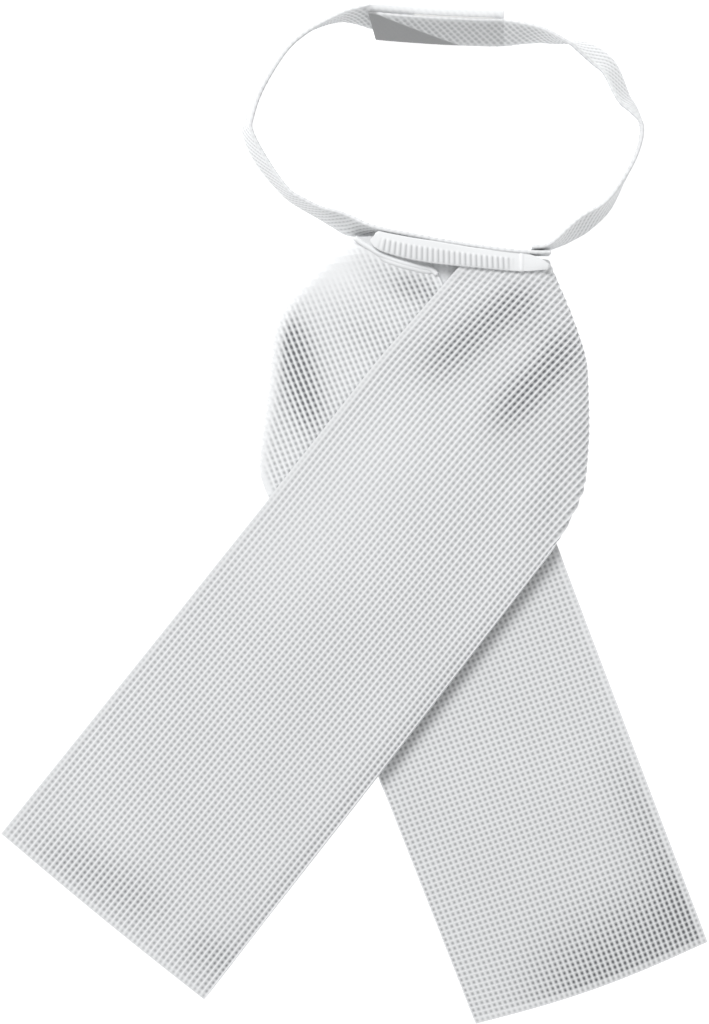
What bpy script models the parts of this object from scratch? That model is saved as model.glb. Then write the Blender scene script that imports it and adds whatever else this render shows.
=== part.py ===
"""A ready-tied cravat laid flat: a narrow neckband closed at the back, and two broad tails crossed in front.

Each tail is one strip of doubled waffle cloth. It lies flat from its hem to the crossing, and above that its
outer side rolls under, so that the end of the strip comes back beneath it to the neckband. The neckband
stands on its edge in a loop, and its two ends overlap on a touch fastener.

The part lies on the plane Z = 0 with +Z up, the neck loop towards +Y and the hems towards -Y. The tables give
millimetres on the middle of the cloth, from the middle of the part's footprint.
"""

from collections import namedtuple

import bpy
import numpy as np

MM = 0.001

TAIL_WALL = 1.6
BAND_WALL = 1.3
BAND_WIDTH = 12.0
TAPE_WALL = 1.1
PAD_WALL = 0.55
PAD_WIDTH = 9.0
SEAM_GAP = 0.3

# The tails' outlines, from the hem to the neckband. The free edge is the one that stays a single edge, and
# the fold edge is the outer side, which rolls under above the fold's start.
Point = namedtuple("Point", "x y")
FRONT_FREE_EDGE = [
    Point(-130.4, -118.1),
    Point(-32.0, 4.7),
    Point(9.1, 56.9),
    Point(38.3, 90.3),
    Point(43.1, 95.9),
]
FRONT_FOLD_EDGE = [
    Point(-55.3, -179.5),
    Point(74.2, -11.9),
    Point(84.5, 8.4),
    Point(86.2, 30.6),
    Point(85.4, 56.5),
    Point(79.4, 74.3),
    Point(71.2, 93.2),
]
FRONT_RETURN_END = Point(22.8, 98.2)
BACK_FREE_EDGE = [
    Point(130.4, -158.1),
    Point(74.9, -11.9),
    Point(32.0, 82.4),
    Point(27.9, 90.2),
]
BACK_SHOULDER = Point(-25.7, 76.9)
BACK_FOLD_EDGE = [
    Point(44.6, -188.4),
    Point(8.7, -97.0),
    Point(-32.0, 5.8),
    Point(-35.3, 15.8),
    Point(-33.9, 29.9),
    Point(-32.0, 41.7),
    Point(-29.4, 67.6),
    BACK_SHOULDER,
    Point(-14.2, 89.1),
    Point(-1.0, 101.1),
]
BACK_RETURN_END = Point(17.6, 100.7)
FRONT_FOLD_START = 211.8
BACK_FOLD_START = 208.8
CORNER_ROUNDING = 9.0
OUTLINE_STEP = 0.5

# How far the ends of a tail bow out from a straight line: the hem outwards, the top edge towards the hem.
FRONT_HEM_BOW = 0.6
FRONT_TOP_BOW = 0.6
BACK_HEM_BOW = 2.6
BACK_TOP_BOW = 2.4
HEM_BOW_LENGTH = 60.0
TOP_BOW_SHARE = 0.5

# The roll along a tail's fold edge is half an ellipse, seen along the fold. It is tight over the fold's first
# stretch, where the strip's edge turns under, and the flap behind it starts as a narrow one.
ROLL_MIN = 1.1
FRONT_ROLL_REACH = 7.0
BACK_ROLL_REACH = 3.6
TURN_SHARE = 0.22
OPENING_START = 0.11
OPENING_LENGTH = 0.35
RETURN_SWING = 0.2
FLAP_MIN = 2.4
LEAST_TURN = 0.01

# How finely a tail's grid is cut, along the strip and across it.
LEVEL_ROWS = 15
TURNING_ROWS = 8
FOLDED_ROWS = 13
FLAT_COLUMNS = 9
ROLL_COLUMNS = 7
RETURN_COLUMNS = 5

Tail = namedtuple("Tail", "free_edge fold_edge fold_start return_end height reach hem_bow top_bow")

# The heights of the cloth's middle over the surface.
REST = TAIL_WALL / 2
BACK_RISE = 3.6
BACK_RISE_START = 118.0
BACK_RISE_LENGTH = 76.0
BACK_SHOULDER_PUFF = 1.6
BACK_SHOULDER_RADIUS = 22.0
CROSSING_LIFT = 2.5
OUTER_LIFT = 3.0
OUTER_LIFT_WIDTH = 62.0
NECK_LIFT = 2.7
NECK_LIFT_START = 66.0
NECK_LIFT_LENGTH = 26.0
RAMP_START = 58.0
RAMP_LENGTH = 54.0

# The shallow trough beside the back tail's fold, as a row for each end of its line.
TROUGH_LINE = [Point(-26.4, 67.6), Point(-20.6, 31.0)]
TROUGH_DEPTH = 1.0
TROUGH_HALF_WIDTH = 5.0

# The neckband, a row for each place along it. The lean is in degrees from upright, positive where the top
# leans out of the loop.
Station = namedtuple("Station", "x y lean")
LEFT_ARM = [
    Station(7.8, 182.6, 36),
    Station(0.4, 183.2, 18),
    Station(-6.8, 182.1, 2),
    Station(-17.8, 177.2, -9),
    Station(-26.3, 170.0, -13),
    Station(-35.0, 156.6, -16),
    Station(-39.0, 145.5, -16),
    Station(-39.2, 139.5, -16),
    Station(-33.9, 129.1, -17),
    Station(-25.3, 118.1, -10),
    Station(-19.1, 113.9, -11),
    Station(-12.6, 110.5, -14),
    Station(-6.8, 108.1, -24),
    Station(-1.7, 105.7, -29),
    Station(4.3, 104.2, -16),
    Station(10.9, 103.3, -6),
    Station(20.9, 101.7, -3),
    Station(31.6, 99.6, -3),
    Station(40.9, 98.2, -2),
    Station(53.8, 96.3, -2),
    Station(64.6, 95.6, 0),
    Station(72.0, 95.5, 0),
]
RIGHT_ARM = [
    Station(65.3, 97.5, 0),
    Station(70.5, 97.7, -3),
    Station(75.0, 99.8, -11),
    Station(79.7, 103.0, -21),
    Station(85.3, 107.0, -26),
    Station(93.1, 113.1, -14),
    Station(99.2, 122.8, -3),
    Station(104.2, 132.9, -2),
    Station(105.8, 142.4, -4),
    Station(102.4, 148.8, -20),
    Station(98.9, 153.2, -28),
    Station(94.2, 163.3, -34),
    Station(89.4, 168.0, -37),
    Station(82.7, 172.2, -24),
    Station(78.6, 173.4, -9),
    Station(73.4, 174.7, 6),
    Station(67.9, 176.0, 18),
    Station(61.2, 176.6, 31),
]
CLOSURE = [
    Station(55.0, 176.8, 42),
    Station(46.4, 176.9, 43),
    Station(31.6, 177.5, 43),
    Station(16.8, 178.5, 43),
    Station(6.5, 179.4, 43),
]
CLOSURE_LIFT = 1.2
CLOSURE_SLIDE = 1.4
CLOSURE_FULL_LEAN = 40.0
CLOSURE_END_SLANT = 3.4
SLANT_ROWS = 4.0
BAND_STEP = 4.2

# The fastener's strips run beside these stations of the closure, short of both ends by one step.
PAD_STATIONS = 4
CLOSURE_MIDDLE = len(CLOSURE) // 2

# The keeper tape over the tails' top edges: the middle of the tape, its width and the height of its middle.
Tape = namedtuple("Tape", "x y width z tilt")
KEEPER = [
    Tape(6.9, 101.4, 2.6, 10.3, 10),
    Tape(7.9, 100.7, 5.0, 10.3, 10),
    Tape(11.2, 99.0, 6.3, 10.3, 10),
    Tape(19.5, 96.9, 7.1, 10.4, 12),
    Tape(27.7, 95.5, 7.4, 10.5, 12),
    Tape(34.0, 94.6, 7.1, 10.6, 12),
    Tape(46.0, 93.1, 6.4, 10.8, 10),
    Tape(60.7, 91.7, 6.2, 10.8, 6),
    Tape(67.5, 91.0, 4.0, 10.6, 4),
    Tape(71.0, 90.2, 1.6, 10.0, 2),
]
KEEPER_STEP = 3.2


def material(name, color, roughness):
    """A plain cloth finish with the piece's own colour."""
    finish = bpy.data.materials.new(name)
    finish.use_nodes = True
    shader = finish.node_tree.nodes["Principled BSDF"]
    shader.inputs["Base Color"].default_value = (*color, 1.0)
    shader.inputs["Roughness"].default_value = roughness
    shader.inputs["Metallic"].default_value = 0.0
    finish.diffuse_color = (*color, 1.0)
    return finish


def sheet(name, grid, wall, finish):
    """One closed cloth piece: a grid of middle points in millimetres, given its thickness to both sides."""
    rows, columns = grid.shape[:2]
    corner = (np.arange(rows - 1)[:, None] * columns + np.arange(columns - 1)).ravel()
    faces = np.stack([corner, corner + 1, corner + columns + 1, corner + columns], axis=1)
    mesh = bpy.data.meshes.new(name)
    mesh.from_pydata((grid.reshape(-1, 3) * MM).tolist(), [], faces.tolist())
    mesh.materials.append(finish)
    mesh.shade_smooth()
    piece = bpy.data.objects.new(name, mesh)
    bpy.context.collection.objects.link(piece)
    solidify = piece.modifiers.new("wall", "SOLIDIFY")
    solidify.thickness = wall * MM
    solidify.offset = 0.0
    solidify.use_rim = True
    return piece


def smooth(value):
    """Runs from 0 to 1 with level ends, as a cubic, and stays there."""
    x = np.clip(value, 0.0, 1.0)
    return x * x * (3.0 - 2.0 * x)


def smooth_start(value, start):
    """Zero up to the start, then a straight line that reaches 1 at 1."""
    return np.clip((value - start) / (1.0 - start), 0.0, 1.0)


def unit(vectors):
    return vectors / np.maximum(np.linalg.norm(vectors, axis=-1, keepdims=True), 1e-9)


def rounded(points, radius):
    """The line through the points with its corners rounded: it is cut into short steps and averaged twice
    over the radius, with its ends carried straight on so that they stay in place."""
    step = OUTLINE_STEP
    line = np.array(points, float)
    reach = radius + step
    line[0] -= unit(line[1] - line[0]) * reach
    line[-1] += unit(line[-1] - line[-2]) * reach
    fine = at_distances(line, np.arange(0.0, length_of(line), step))
    kernel = np.ones(int(radius / step) | 1)
    kernel /= kernel.size
    for _ in range(2):
        fine = np.stack([np.convolve(fine[:, axis], kernel, "valid") for axis in range(2)], axis=1)
    return fine


def length_of(line):
    return float(np.linalg.norm(np.diff(line, axis=0), axis=1).sum())


def at_distances(line, distances):
    """Points at the given distances along a line."""
    run = np.concatenate([[0.0], np.cumsum(np.linalg.norm(np.diff(line, axis=0), axis=1))])
    return np.stack([np.interp(distances, run, line[:, axis]) for axis in range(line.shape[1])], axis=-1)


def through(stations, step):
    """A smooth curve through a table's rows: a Catmull-Rom spline in every column, cut to about one step."""
    table = np.array(stations, float)
    padded = np.vstack([2 * table[0] - table[1], table, 2 * table[-1] - table[-2]])
    pieces = []
    for before, start, end, after in zip(padded[:-3], padded[1:-2], padded[2:-1], padded[3:]):
        count = max(1, round(float(np.linalg.norm(end[:2] - start[:2])) / step))
        t = (np.arange(count) / count)[:, None]
        pieces.append(
            0.5
            * (
                2 * start
                + (end - before) * t
                + (2 * before - 5 * start + 4 * end - after) * t**2
                + (3 * start - before - 3 * end + after) * t**3
            )
        )
    pieces.append(table[-1:])
    return np.vstack(pieces)


def back_axis():
    """The back tail's own direction, from its hem up, along its fold edge."""
    hem, start = (np.array(BACK_FOLD_EDGE[i]) for i in (0, 2))
    return hem, unit(start - hem)


def back_height(x, y):
    """The back tail's cloth: level from the hem, up a slope under the front tail, and puffed at the shoulder
    with a trough beside the fold."""
    hem, axis = back_axis()
    up = (x - hem[0]) * axis[0] + (y - hem[1]) * axis[1]
    height = REST + BACK_RISE * smooth((up - BACK_RISE_START) / BACK_RISE_LENGTH)
    near = ((x - BACK_SHOULDER.x) ** 2 + (y - BACK_SHOULDER.y) ** 2) / BACK_SHOULDER_RADIUS**2
    height = height + BACK_SHOULDER_PUFF * np.exp(-near)
    top, low = (np.array(p) for p in TROUGH_LINE)
    run = unit(low - top)
    along = (x - top[0]) * run[0] + (y - top[1]) * run[1]
    across = (x - top[0]) * run[1] - (y - top[1]) * run[0]
    middle = length_of(np.array([top, low])) / 2
    fade = np.exp(-(((along - middle) / middle) ** 4))
    return height - TROUGH_DEPTH * fade * np.exp(-((across / TROUGH_HALF_WIDTH) ** 2))


def front_height(x, y):
    """The front tail's cloth: level from the hem, then over the back tail with room under its outer side,
    and down again to the neckband."""
    hem, axis = back_axis()
    past_edge = (x - hem[0]) * axis[1] - (y - hem[1]) * axis[0]
    ramp = smooth((past_edge + RAMP_START) / RAMP_LENGTH)
    corner = np.array(FRONT_FREE_EDGE[0])
    run = unit(np.array(FRONT_FREE_EDGE[1]) - corner)
    across = (x - corner[0]) * run[1] - (y - corner[1]) * run[0]
    lift = CROSSING_LIFT + OUTER_LIFT * smooth(across / OUTER_LIFT_WIDTH)
    neck = smooth((y - NECK_LIFT_START) / NECK_LIFT_LENGTH)
    lift = lift + (NECK_LIFT - lift) * neck
    return REST + (back_height(x, y) - REST + lift) * ramp


def row_marks(tail, free, fold):
    """How far up the free edge and the fold edge each row starts, and its share of the folded stretch: rows
    are square to the strip up to the fold's start, close together where the fold turns under, and then
    spread out to the neckband."""
    below = np.linspace(0.0, 1.0, LEVEL_ROWS, endpoint=False)
    turning = np.linspace(0.0, TURN_SHARE, TURNING_ROWS, endpoint=False)
    above = np.concatenate([turning, np.linspace(TURN_SHARE, 1.0, FOLDED_ROWS)])
    start = tail.fold_start
    free_run = np.concatenate([below * start, start + above * (length_of(free) - start)])
    fold_run = np.concatenate([below * start, start + above * (length_of(fold) - start)])
    return free_run, fold_run, np.concatenate([below * 0.0, above])


def tail_grid(tail):
    """A tail's middle surface. Each row runs from the free edge straight across to the fold edge, round the
    roll and back under to the return's edge. The roll is an arc that starts level, turns through half a
    circle over the fold's first stretch, and opens there into half an ellipse."""
    free = rounded(tail.free_edge, CORNER_ROUNDING)
    fold = rounded(tail.fold_edge, CORNER_ROUNDING)
    free_run, fold_run, past = row_marks(tail, free, fold)
    left = at_distances(free, free_run)
    right = at_distances(fold, fold_run)
    turned_at = tail.fold_start + TURN_SHARE * (length_of(fold) - tail.fold_start)
    begin = at_distances(fold, np.minimum(fold_run, turned_at))
    inner = begin + (np.array(tail.return_end) - begin) * smooth_start(past, TURN_SHARE)[:, None]
    width = np.linalg.norm(right - left, axis=1)
    inward = (left - right) / width[:, None]
    span = np.linalg.norm(inner - right, axis=1)
    turned = smooth((past - TURN_SHARE) / RETURN_SWING)[:, None]
    under = unit(inward * (1 - turned) + unit(inner - right) * turned)

    turn = np.maximum(np.pi * smooth(past / TURN_SHARE), LEAST_TURN)
    opened = smooth((past - OPENING_START) / OPENING_LENGTH)
    radius = np.pi * ROLL_MIN / turn
    reach = radius + (tail.reach - ROLL_MIN) * opened
    top = tail.height(right[:, 0], right[:, 1])
    drop = radius + (np.maximum((top - REST) / 2, ROLL_MIN) - ROLL_MIN) * opened
    flap = np.maximum(span - reach, FLAP_MIN)
    outermost = np.where(turn < np.pi / 2, reach * np.sin(turn) + flap * np.cos(turn), reach)
    level = width - outermost

    # Distances out from the crest, and down from the cloth's height, for the three stretches of a row.
    flat_out = -level[:, None] * np.linspace(1.0, 0.0, FLAT_COLUMNS, endpoint=False)
    angle = turn[:, None] * np.linspace(0.0, 1.0, ROLL_COLUMNS, endpoint=False)
    roll_out = reach[:, None] * np.sin(angle)
    roll_down = drop[:, None] * (1 - np.cos(angle))
    length = flap[:, None] * np.linspace(0.0, 1.0, RETURN_COLUMNS)
    flap_out = (reach * np.sin(turn))[:, None] + length * np.cos(turn)[:, None]
    flap_down = (drop * (1 - np.cos(turn)))[:, None] + length * np.sin(turn)[:, None]
    outward = np.concatenate([flat_out, roll_out, flap_out], axis=1)
    down = np.concatenate([flat_out * 0, roll_down, flap_down], axis=1)
    down = down * np.minimum(1.0, (top - REST) / down.max(axis=1))[:, None]
    flap_below = np.repeat(turn[:, None] > np.pi / 2, RETURN_COLUMNS, axis=1)
    below = np.concatenate([flat_out > 0, angle > np.pi / 2, flap_below], axis=1)
    inset = outermost[:, None] - outward
    direction = np.where(below[..., None], under[:, None], inward[:, None])
    plan = right[:, None] + direction * inset[..., None]

    # The hem and the top edge bow along the strip, by a share that dies out over the rows next to them.
    bulge = np.sin(np.pi * np.clip(inset / width[:, None], 0, 1)) * ~below
    hem_share = -tail.hem_bow * (1 - smooth(free_run / HEM_BOW_LENGTH))
    top_share = -tail.top_bow * smooth(1 - (1 - past) / TOP_BOW_SHARE)
    along = np.stack([-inward[:, 1], inward[:, 0]], axis=1)
    along = along * np.sign((along * (right[-1] - right[0])).sum(axis=1))[:, None]
    plan = plan + along[:, None] * (bulge * (hem_share + top_share)[:, None])[..., None]

    z = np.where(below, top[:, None], tail.height(plan[..., 0], plan[..., 1])) - down
    return np.concatenate([plan, z[..., None]], axis=2)


def band_frames(stations, step=BAND_STEP):
    """Places along a standing band: its middle in plan, the way out of the loop and the lean."""
    curve = through(stations, step)
    run = unit(np.gradient(curve[:, :2], axis=0))
    out = np.stack([run[:, 1], -run[:, 0]], axis=1)
    return curve[:, :2], run, out, np.radians(curve[:, 2])


def band_grid(middle, run, out, lean, height, width, slant=0.0):
    """A standing band's middle surface: three lines of points from the lower edge to the upper edge, turned
    by the lean. The last stretch is cut on a slant, its upper edge the longer one."""
    across = np.array([-0.5, 0.0, 0.5]) * width
    side = out[:, None] * (np.sin(lean)[:, None] * across)[..., None]
    last = smooth(1 - (len(lean) - 1 - np.arange(len(lean))) / SLANT_ROWS)
    cut = run[:, None] * (slant * last[:, None] * across / width)[..., None]
    plan = middle[:, None] + side + cut
    z = height[:, None] + np.cos(lean)[:, None] * across
    return np.concatenate([plan, z[..., None]], axis=2)


def standing_height(lean, lift):
    """The height of a band's middle when its lower edge stands at the lift."""
    return lift + BAND_WIDTH / 2 * np.cos(lean) + BAND_WALL / 2 * np.abs(np.sin(lean))


def closure_layer(depth, slide):
    """The closure's stations moved out through the overlap by a depth, and up the band's face by a slide,
    with the change in height that this brings."""
    table = np.array(CLOSURE, float)
    run = unit(np.gradient(table[:, :2], axis=0))
    out = np.stack([run[:, 1], -run[:, 0]], axis=1)
    lean = np.radians(table[:, 2])
    table[:, :2] += out * (depth * np.cos(lean) + slide * np.sin(lean))[:, None]
    rise = -depth * np.sin(lean) + slide * np.cos(lean)
    return table, float(rise[CLOSURE_MIDDLE])


def build_tails(cloth):
    """Both tails, each a strip with its outer side rolled under."""
    front = Tail(
        FRONT_FREE_EDGE,
        FRONT_FOLD_EDGE,
        FRONT_FOLD_START,
        FRONT_RETURN_END,
        front_height,
        FRONT_ROLL_REACH,
        FRONT_HEM_BOW,
        FRONT_TOP_BOW,
    )
    back = Tail(
        BACK_FREE_EDGE,
        BACK_FOLD_EDGE,
        BACK_FOLD_START,
        BACK_RETURN_END,
        back_height,
        BACK_ROLL_REACH,
        BACK_HEM_BOW,
        BACK_TOP_BOW,
    )
    sheet("tail_front", tail_grid(front), TAIL_WALL, cloth)
    sheet("tail_back", tail_grid(back), TAIL_WALL, cloth)


def build_neckband(cloth):
    """The band in two pieces: the outer end, left arm and front in one, and the right arm with the inner end."""
    depth = BAND_WALL + 2 * PAD_WALL + 3 * SEAM_GAP
    outer, _ = closure_layer(depth, CLOSURE_SLIDE)
    middle, run, out, lean = band_frames(np.vstack([outer[:-1], LEFT_ARM]))
    grid = band_grid(middle, run, out, lean, standing_height(lean, 0.0), BAND_WIDTH)
    sheet("neckband_left", grid, BAND_WALL, cloth)

    middle, run, out, lean = band_frames(RIGHT_ARM + CLOSURE)
    lift = CLOSURE_LIFT * smooth(np.degrees(lean) / CLOSURE_FULL_LEAN)
    grid = band_grid(middle, run, out, lean, standing_height(lean, lift), BAND_WIDTH, CLOSURE_END_SLANT)
    sheet("neckband_right", grid, BAND_WALL, cloth)


def build_fastener(finish):
    """The two touch-fastener strips between the neckband's ends, the loop strip on the inner end."""
    inner_height = standing_height(np.radians(CLOSURE[CLOSURE_MIDDLE].lean), CLOSURE_LIFT)
    first = BAND_WALL / 2 + SEAM_GAP + PAD_WALL / 2
    for name, depth in (("fastener_loop", first), ("fastener_hook", first + PAD_WALL + SEAM_GAP)):
        table, rise = closure_layer(depth, CLOSURE_SLIDE / 2)
        middle, run, out, lean = band_frames(table[:PAD_STATIONS])
        height = np.full(len(lean), inner_height + rise)
        grid = band_grid(middle, run, out, lean, height, PAD_WIDTH)[1:-1]
        sheet(name, grid, PAD_WALL, finish)


def build_keeper(finish):
    """The narrow ribbed tape sewn along the front of the neckband, rounded at its left end and drawn to a
    point at its right end."""
    curve = through(KEEPER, KEEPER_STEP)
    run = unit(np.gradient(curve[:, :2], axis=0))
    side = np.stack([-run[:, 1], run[:, 0]], axis=1)
    tilt = np.radians(curve[:, 4])
    across = np.array([-0.5, 0.0, 0.5]) * curve[:, 2:3]
    plan = curve[:, None, :2] + side[:, None] * (across * np.cos(tilt)[:, None])[..., None]
    z = curve[:, 3:4] + across * np.sin(tilt)[:, None]
    sheet("keeper_tape", np.concatenate([plan, z[..., None]], axis=2), TAPE_WALL, finish)


def main():
    for old in list(bpy.data.objects):
        bpy.data.objects.remove(old)
    build_tails(material("waffle_cloth", (0.86, 0.87, 0.88), 0.85))
    build_neckband(material("band_cloth", (0.84, 0.85, 0.86), 0.8))
    build_keeper(material("tape", (0.88, 0.89, 0.9), 0.75))
    build_fastener(material("touch_fastener", (0.82, 0.82, 0.81), 0.9))


main()
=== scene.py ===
"""The looks of a ready-tied cravat laid flat: two waffle tails crossed in front, a neckband standing on its
edge in a loop, a ribbed keeper tape along its front, and the touch fastener between the neckband's ends.

Lengths are millimetres from the middle of the footprint, +X right, +Y towards the neck loop and +Z up. They
become metres where a mesh is made. The outlines and heights follow those of the part's own source.
"""

from collections import namedtuple

import bpy
import numpy as np
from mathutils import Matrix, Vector


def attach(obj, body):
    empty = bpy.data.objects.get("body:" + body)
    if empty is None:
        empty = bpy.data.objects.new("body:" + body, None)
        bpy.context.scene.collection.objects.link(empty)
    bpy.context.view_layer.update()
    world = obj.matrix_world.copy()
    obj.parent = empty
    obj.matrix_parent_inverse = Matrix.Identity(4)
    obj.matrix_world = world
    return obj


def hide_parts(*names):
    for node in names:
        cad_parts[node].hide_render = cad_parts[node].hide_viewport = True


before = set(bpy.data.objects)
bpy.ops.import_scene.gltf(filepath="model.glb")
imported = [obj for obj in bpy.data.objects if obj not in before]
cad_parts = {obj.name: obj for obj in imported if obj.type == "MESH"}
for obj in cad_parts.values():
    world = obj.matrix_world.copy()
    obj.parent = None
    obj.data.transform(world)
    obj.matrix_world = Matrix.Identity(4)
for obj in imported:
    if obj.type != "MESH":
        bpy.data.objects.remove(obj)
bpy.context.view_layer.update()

MM = 0.001

# The tails' cloth: its thickness, the distance from one cell of the weave to the next, the depth of a cell,
# and the share of that by which the threads across are sunk.
TAIL_WALL = 1.6
TAIL_CELL = 2.0
TAIL_PIT = 0.5
CROSS_SINK_LEAST = 0.2
CROSS_SINK_GROOVE = 0.6

# The neckband's cloth, cut on the cross, and the curl of its upper edge at the closure.
BAND_WALL = 1.3
BAND_WIDTH = 12.0
BAND_CELL = 1.9
BAND_PIT = 0.3
BAND_BIAS = 48.0
BAND_FINE_STEP = 0.42
BAND_GROOVED = 0.45
CURL_WIDTH = 3.0
CURL_LEAN = 85.0
CURL_FROM_LEAN = 20.0
CURL_LEAN_SPAN = 15.0
BAND_EDGE_RELIEF = 0.3
BAND_EDGE_FADE = 2.0

# How the tails' weave fades out at the free edge, the hem, the neckline and the roll's crest: the share of
# its depth that is left there, and the cells or the length over which it comes back.
LEAST_RELIEF = 0.05
FREE_EDGE_RELIEF = 0.2
HEM_RELIEF = 0.3
EDGE_CELLS = 1.2
NECKLINE_FADE = 4.0
CREST_RELIEF = 0.05
CREST_PLAIN_WIDTH = 1.6

# Where the cloth goes over to grooves, up the tails, and how its tone changes with the weave.
GROOVED_FROM_Y = -30.0
GROOVED_LENGTH = 70.0
PLAIN_DARKER = 0.07
# The free edge's outermost crossings are painted paler: a painted highlight along the edge.
FREE_EDGE_PAINTED_LIGHT = 0.08
FREE_EDGE_LIGHT_CELLS = 0.5
GROOVED_PALER = 0.25
RETURN_RELIEF = 0.2
# The return beneath is painted paler: painted light where it lies in shade under the tails.
RETURN_PAINTED_LIGHT = 1.15

# The tape, the touch fastener's strips, and the room between layers that are sewn together.
TAPE_WALL = 1.0
TAPE_RIB = 2.0
PAD_WALL = 0.55
PAD_WIDTH = 9.0
SEAM_GAP = 0.3

Point = namedtuple("Point", "x y")

# The front tail. The free edge stays a single edge, the fold edge rolls under above the fold's start, and the
# far edge is where the cloth's other edge would lie if it were not rolled under.
FRONT_FREE_EDGE = [
    Point(-130.4, -118.1), Point(-32.0, 4.7), Point(9.1, 56.9), Point(38.3, 90.3),
    Point(43.1, 95.9),
]
FRONT_FAR_EDGE = [
    Point(-55.3, -179.5), Point(74.2, -11.9), Point(112.0, 28.6), Point(169.0, 83.7),
]
FRONT_FOLD_EDGE = [
    Point(-55.3, -179.5), Point(74.2, -11.9), Point(84.5, 8.4), Point(86.2, 30.6),
    Point(85.4, 56.5), Point(79.4, 74.3), Point(71.2, 93.2),
]
FRONT_NECKLINE = [Point(43.1, 95.9), Point(57.0, 94.0), Point(71.2, 93.2)]
FRONT_RETURN_END = Point(22.8, 98.2)

# The back tail, whose fold edge is its left one.
BACK_FREE_EDGE = [
    Point(130.4, -158.1), Point(74.9, -11.9), Point(33.3, 82.4), Point(29.5, 90.3),
]
BACK_FAR_EDGE = [
    Point(44.6, -188.4), Point(-32.0, 5.8), Point(-58.2, 70.7), Point(-84.4, 135.6),
]
BACK_FOLD_EDGE = [
    Point(44.6, -188.4), Point(8.7, -97.0), Point(-32.0, 5.8), Point(-35.3, 15.8),
    Point(-33.9, 29.9), Point(-32.0, 41.7), Point(-29.4, 67.6), Point(-25.7, 76.9),
    Point(-14.2, 89.1), Point(-1.0, 101.1),
]
BACK_NECKLINE = [
    Point(-1.7, 102.0), Point(6.1, 97.0), Point(9.4, 95.0), Point(15.4, 92.8), Point(23.5, 90.6),
    Point(29.3, 90.2),
]
BACK_RETURN_END = Point(17.6, 100.7)
FRONT_FOLD_START = 211.8
BACK_FOLD_START = 208.8
CORNER_ROUNDING = 9.0
FAR_ROUNDING = 40.0
NECK_ROUNDING = 3.0
OUTLINE_STEP = 0.5
PAST_ENDS = 60.0

# The roll along a fold edge, which is half an ellipse seen along the fold.
ROLL_MIN = 1.1
FRONT_ROLL_REACH = 7.0
BACK_ROLL_REACH = 3.6
TURN_SHARE = 0.22
OPENING_START = 0.11
OPENING_LENGTH = 0.35
ROLL_START_SHARE = 0.05
RETURN_SWING = 0.2
ROLL_END = 0.78 * np.pi
RETURN_STEP = 2.4
HEM_BOW_LENGTH = 60.0
RETURN_RISE = 3.0
RETURN_RISE_START = 0.7
RETURN_RISE_WIDTH = 12.0
RETURN_ARC_POINTS = 5
NECK_BOW_LENGTH = 60.0

# The cloth comes up to the tape over the last stretch before the neckline, the back tail's less near the
# front tail.
FRONT_SEAM_RISE = 1.2
FRONT_SEAM_START = 12.0
FRONT_SEAM_LENGTH = 7.0
BACK_SEAM_RISE = 2.2
BACK_SEAM_START = 14.0
BACK_SEAM_LEAST = 0.3
BACK_SEAM_END_X = 29.0
BACK_SEAM_END_LENGTH = 12.0
SEAM_INSIDE_CREST = 6.0

# The heights of the cloth's middle over the surface. Lying flat, its pits' undersides touch the surface.
PITS_BELOW = 0.6
REST = TAIL_WALL / 2 + PITS_BELOW
BACK_RISE = 3.6
BACK_RISE_START = 118.0
BACK_RISE_LENGTH = 76.0
BACK_SHOULDER = Point(-25.7, 76.9)
BACK_SHOULDER_PUFF = 1.6
BACK_SHOULDER_RADIUS = 22.0
CROSSING_LIFT = 2.5
OUTER_LIFT = 3.0
OUTER_LIFT_WIDTH = 62.0
NECK_LIFT = 2.7
NECK_LIFT_START = 66.0
NECK_LIFT_LENGTH = 26.0
RAMP_START = 58.0
RAMP_LENGTH = 54.0
TROUGH_LINE = [Point(-26.4, 67.6), Point(-20.6, 31.0)]
TROUGH_DEPTH = 1.0
TROUGH_HALF_WIDTH = 5.0

# The soft creases: a ridge where the height is positive and a trough where it is not.
Crease = namedtuple("Crease", "start end height half_width")
FRONT_CREASES = [
    Crease(Point(18.0, 58.0), Point(66.0, 84.0), 1.0, 9.0),
    Crease(Point(44.0, 30.0), Point(80.0, 66.0), 0.9, 7.0),
    Crease(Point(56.0, 8.0), Point(74.0, 30.0), -0.5, 6.0),
]
BACK_CREASES = [
    Crease(Point(-24.0, 80.0), Point(-14.0, 34.0), 0.4, 6.0),
]

# Where the weave is made deeper or shallower than elsewhere: the height of each bell is the share that it
# adds to the depth of the weave. The same share darkens the pits and grooves in colour, so the positive
# bells, laid where the cloth turns away from the light, are partly real depth and partly painted shade.
FRONT_RELIEF_AND_SHADE = [
    Crease(Point(26.0, 51.0), Point(65.0, 83.0), 0.36, 8.0),
    Crease(Point(56.0, 82.0), Point(78.0, 60.0), 0.12, 8.0),
    Crease(Point(52.0, 33.0), Point(82.0, 64.0), 0.44, 8.0),
    Crease(Point(82.0, 40.0), Point(66.0, -12.0), 0.1, 7.0),
    Crease(Point(-116.0, -122.0), Point(-70.0, -148.0), 0.18, 9.0),
    Crease(Point(-62.0, -158.0), Point(-44.0, -168.0), 0.18, 7.0),
    Crease(Point(-54.0, -174.0), Point(62.0, -26.0), 0.15, 4.0),
    Crease(Point(-40.0, -30.0), Point(20.0, 40.0), -0.25, 26.0),
    Crease(Point(36.0, 93.0), Point(76.0, 91.0), -0.5, 6.0),
]
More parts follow.
